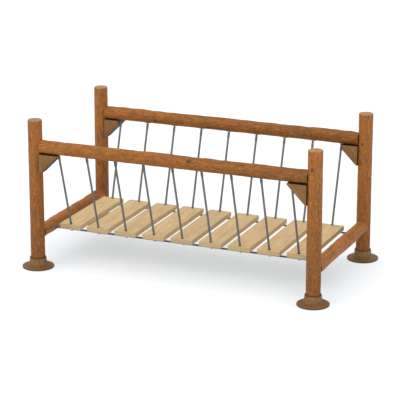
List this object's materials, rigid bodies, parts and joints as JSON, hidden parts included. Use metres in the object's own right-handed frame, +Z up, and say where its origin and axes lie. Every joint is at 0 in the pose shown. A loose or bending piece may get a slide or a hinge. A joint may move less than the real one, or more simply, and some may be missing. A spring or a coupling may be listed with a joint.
{
  "type": "playground balance bridge",
  "caption": "Playground balance bridge: posts in flanged feet, log handrails, cross beams, and a swaying plank deck hung on leaning wire ropes.",
  "frame": {"origin": "on the ground, in the middle of the four feet", "axes": "+X along the bridge, +Y across it from the front handrail to the back one, +Z up"},
  "size_m": [2.66, 1.49, 1.25],
  "materials": {
    "post_wood": "brown stained round wood, satin",
    "rail_wood": "brown stained log, satin",
    "beam_wood": "brown stained log, satin",
    "bracket_wood": "sawn wood, greyer brown, matt",
    "plank_wood": "pale sawn pine, satin",
    "foot_paint": "brown paint, satin",
    "hanger_steel": "dull grey wire rope",
    "cable_steel": "dark grey wire rope"
  },
  "bodies": {
    "frame": {"foot_front_left": "foot_paint", "foot_front_right": "foot_paint", "foot_back_left": "foot_paint", "foot_back_right": "foot_paint", "post_front_left": "post_wood", "post_front_right": "post_wood", "post_back_left": "post_wood", "post_back_right": "post_wood", "handrail_front": "rail_wood", "handrail_back": "rail_wood", "beam_left": "beam_wood", "beam_right": "beam_wood", "bracket_front_left": "bracket_wood", "bracket_front_right": "bracket_wood", "bracket_back_left": "bracket_wood", "bracket_back_right": "bracket_wood", "cable_front": "cable_steel", "cable_back": "cable_steel"},
    "plank_1": {"plank_1": "plank_wood"},
    "plank_2": {"plank_2": "plank_wood"},
    "plank_3": {"plank_3": "plank_wood"},
    "plank_4": {"plank_4": "plank_wood"},
    "plank_5": {"plank_5": "plank_wood"},
    "plank_6": {"plank_6": "plank_wood"},
    "plank_7": {"plank_7": "plank_wood"},
    "plank_8": {"plank_8": "plank_wood"},
    "plank_9": {"plank_9": "plank_wood"},
    "hanger_front_1": {"hanger_front_1": "hanger_steel"},
    "hanger_front_2": {"hanger_front_2": "hanger_steel"},
    "hanger_front_3": {"hanger_front_3": "hanger_steel"},
    "hanger_front_4": {"hanger_front_4": "hanger_steel"},
    "hanger_front_5": {"hanger_front_5": "hanger_steel"},
    "hanger_front_6": {"hanger_front_6": "hanger_steel"},
    "hanger_front_7": {"hanger_front_7": "hanger_steel"},
    "hanger_front_8": {"hanger_front_8": "hanger_steel"},
    "hanger_front_9": {"hanger_front_9": "hanger_steel"},
    "hanger_back_1": {"hanger_back_1": "hanger_steel"},
    "hanger_back_2": {"hanger_back_2": "hanger_steel"},
    "hanger_back_3": {"hanger_back_3": "hanger_steel"},
    "hanger_back_4": {"hanger_back_4": "hanger_steel"},
    "hanger_back_5": {"hanger_back_5": "hanger_steel"},
    "hanger_back_6": {"hanger_back_6": "hanger_steel"},
    "hanger_back_7": {"hanger_back_7": "hanger_steel"},
    "hanger_back_8": {"hanger_back_8": "hanger_steel"},
    "hanger_back_9": {"hanger_back_9": "hanger_steel"}
  },
  "joints": [
    {"name": "plank_1_sway", "type": "hinge", "parent": "frame", "child": "plank_1", "pos_m": [-1, 0, -0.97089], "axis": [1, 0, 0], "range_deg": [-0.54, 0.54], "stiffness_Nm_per_rad": 1600, "deforming": ["cable_front", "cable_back"]},
    {"name": "plank_2_sway", "type": "hinge", "parent": "plank_1", "child": "plank_2", "pos_m": [-0.75, 0, -0.97089], "axis": [1, 0, 0], "range_deg": [-0.4294, 0.4294], "stiffness_Nm_per_rad": 1600},
    {"name": "plank_3_sway", "type": "hinge", "parent": "plank_2", "child": "plank_3", "pos_m": [-0.5, 0, -0.97089], "axis": [1, 0, 0], "range_deg": [-0.307, 0.307], "stiffness_Nm_per_rad": 1600},
    {"name": "plank_4_sway", "type": "hinge", "parent": "plank_3", "child": "plank_4", "pos_m": [-0.25, 0, -0.97089], "axis": [1, 0, 0], "range_deg": [-0.1846, 0.1846], "stiffness_Nm_per_rad": 1600},
    {"name": "plank_5_sway", "type": "hinge", "parent": "plank_4", "child": "plank_5", "pos_m": [0, 0, -0.97089], "axis": [1, 0, 0], "range_deg": [-0.0622, 0.0622], "stiffness_Nm_per_rad": 1600},
    {"name": "plank_9_sway", "type": "hinge", "parent": "frame", "child": "plank_9", "pos_m": [1, 0, -0.97089], "axis": [1, 0, 0], "range_deg": [-0.55, 0.55], "stiffness_Nm_per_rad": 1600},
    {"name": "plank_8_sway", "type": "hinge", "parent": "plank_9", "child": "plank_8", "pos_m": [0.75, 0, -0.97089], "axis": [1, 0, 0], "range_deg": [-0.4294, 0.4294], "stiffness_Nm_per_rad": 1600},
    {"name": "plank_7_sway", "type": "hinge", "parent": "plank_8", "child": "plank_7", "pos_m": [0.5, 0, -0.97089], "axis": [1, 0, 0], "range_deg": [-0.307, 0.307], "stiffness_Nm_per_rad": 1600},
    {"name": "plank_6_sway", "type": "hinge", "parent": "plank_7", "child": "plank_6", "pos_m": [0.25, 0, -0.97089], "axis": [1, 0, 0], "range_deg": [-0.1846, 0.1846], "stiffness_Nm_per_rad": 1600},
    {"name": "hanger_front_1_pin", "type": "hinge", "parent": "frame", "child": "hanger_front_1", "pos_m": [-1, -0.59502, 0.965], "axis": [1, 0, 0], "range_deg": [-1.01, 1.01]},
    {"name": "hanger_front_2_pin", "type": "hinge", "parent": "frame", "child": "hanger_front_2", "pos_m": [-0.75, -0.59502, 0.965], "axis": [1, 0, 0], "range_deg": [-1.8, 1.8]},
    {"name": "hanger_front_3_pin", "type": "hinge", "parent": "frame", "child": "hanger_front_3", "pos_m": [-0.5, -0.59502, 0.965], "axis": [1, 0, 0], "range_deg": [-2.36, 2.36]},
    {"name": "hanger_front_4_pin", "type": "hinge", "parent": "frame", "child": "hanger_front_4", "pos_m": [-0.25, -0.59502, 0.965], "axis": [1, 0, 0], "range_deg": [-2.69, 2.69]},
    {"name": "hanger_front_5_pin", "type": "hinge", "parent": "frame", "child": "hanger_front_5", "pos_m": [0, -0.59502, 0.965], "axis": [1, 0, 0], "range_deg": [-2.81, 2.81]},
    {"name": "hanger_front_6_pin", "type": "hinge", "parent": "frame", "child": "hanger_front_6", "pos_m": [0.25, -0.59502, 0.965], "axis": [1, 0, 0], "range_deg": [-2.69, 2.69]},
    {"name": "hanger_front_7_pin", "type": "hinge", "parent": "frame", "child": "hanger_front_7", "pos_m": [0.5, -0.59502, 0.965], "axis": [1, 0, 0], "range_deg": [-2.36, 2.36]},
    {"name": "hanger_front_8_pin", "type": "hinge", "parent": "frame", "child": "hanger_front_8", "pos_m": [0.75, -0.59502, 0.965], "axis": [1, 0, 0], "range_deg": [-1.8, 1.8]},
    {"name": "hanger_front_9_pin", "type": "hinge", "parent": "frame", "child": "hanger_front_9", "pos_m": [1, -0.59502, 0.965], "axis": [1, 0, 0], "range_deg": [-1.01, 1.01]},
    {"name": "hanger_back_1_pin", "type": "hinge", "parent": "frame", "child": "hanger_back_1", "pos_m": [-1, 0.59502, 0.965], "axis": [1, 0, 0], "range_deg": [-1.01, 1.01]},
    {"name": "hanger_back_2_pin", "type": "hinge", "parent": "frame", "child": "hanger_back_2", "pos_m": [-0.75, 0.59502, 0.965], "axis": [1, 0, 0], "range_deg": [-1.8, 1.8]},
    {"name": "hanger_back_3_pin", "type": "hinge", "parent": "frame", "child": "hanger_back_3", "pos_m": [-0.5, 0.59502, 0.965], "axis": [1, 0, 0], "range_deg": [-2.36, 2.36]},
    {"name": "hanger_back_4_pin", "type": "hinge", "parent": "frame", "child": "hanger_back_4", "pos_m": [-0.25, 0.59502, 0.965], "axis": [1, 0, 0], "range_deg": [-2.69, 2.69]},
    {"name": "hanger_back_5_pin", "type": "hinge", "parent": "frame", "child": "hanger_back_5", "pos_m": [0, 0.59502, 0.965], "axis": [1, 0, 0], "range_deg": [-2.81, 2.81]},
    {"name": "hanger_back_6_pin", "type": "hinge", "parent": "frame", "child": "hanger_back_6", "pos_m": [0.25, 0.59502, 0.965], "axis": [1, 0, 0], "range_deg": [-2.69, 2.69]},
    {"name": "hanger_back_7_pin", "type": "hinge", "parent": "frame", "child": "hanger_back_7", "pos_m": [0.5, 0.59502, 0.965], "axis": [1, 0, 0], "range_deg": [-2.36, 2.36]},
    {"name": "hanger_back_8_pin", "type": "hinge", "parent": "frame", "child": "hanger_back_8", "pos_m": [0.75, 0.59502, 0.965], "axis": [1, 0, 0], "range_deg": [-1.8, 1.8]},
    {"name": "hanger_back_9_pin", "type": "hinge", "parent": "frame", "child": "hanger_back_9", "pos_m": [1, 0.59502, 0.965], "axis": [1, 0, 0], "range_deg": [-1.01, 1.01]}
  ],
  "couplings": [
    {"joint": "plank_2_sway", "follows": "plank_1_sway", "ratio": 0.77778},
    {"joint": "plank_3_sway", "follows": "plank_1_sway", "ratio": 0.55556},
    {"joint": "plank_4_sway", "follows": "plank_1_sway", "ratio": 0.33333},
    {"joint": "plank_5_sway", "follows": "plank_1_sway", "ratio": 0.11111},
    {"joint": "plank_9_sway", "follows": "plank_1_sway", "ratio": 1},
    {"joint": "plank_8_sway", "follows": "plank_1_sway", "ratio": 0.77778},
    {"joint": "plank_7_sway", "follows": "plank_1_sway", "ratio": 0.55556},
    {"joint": "plank_6_sway", "follows": "plank_1_sway", "ratio": 0.33333},
    {"joint": "hanger_front_1_pin", "follows": "plank_1_sway", "ratio": -1.8331},
    {"joint": "hanger_front_2_pin", "follows": "plank_1_sway", "ratio": -3.2589},
    {"joint": "hanger_front_3_pin", "follows": "plank_1_sway", "ratio": -4.2773},
    {"joint": "hanger_front_4_pin", "follows": "plank_1_sway", "ratio": -4.8884},
    {"joint": "hanger_front_5_pin", "follows": "plank_1_sway", "ratio": -5.0921},
    {"joint": "hanger_front_6_pin", "follows": "plank_1_sway", "ratio": -4.8884},
    {"joint": "hanger_front_7_pin", "follows": "plank_1_sway", "ratio": -4.2773},
    {"joint": "hanger_front_8_pin", "follows": "plank_1_sway", "ratio": -3.2589},
    {"joint": "hanger_front_9_pin", "follows": "plank_1_sway", "ratio": -1.8331},
    {"joint": "hanger_back_1_pin", "follows": "plank_1_sway", "ratio": -1.8331},
    {"joint": "hanger_back_2_pin", "follows": "plank_1_sway", "ratio": -3.2589},
    {"joint": "hanger_back_3_pin", "follows": "plank_1_sway", "ratio": -4.2773},
    {"joint": "hanger_back_4_pin", "follows": "plank_1_sway", "ratio": -4.8884},
    {"joint": "hanger_back_5_pin", "follows": "plank_1_sway", "ratio": -5.0921},
    {"joint": "hanger_back_6_pin", "follows": "plank_1_sway", "ratio": -4.8884},
    {"joint": "hanger_back_7_pin", "follows": "plank_1_sway", "ratio": -4.2773},
    {"joint": "hanger_back_8_pin", "follows": "plank_1_sway", "ratio": -3.2589},
    {"joint": "hanger_back_9_pin", "follows": "plank_1_sway", "ratio": -1.8331}
  ]
}
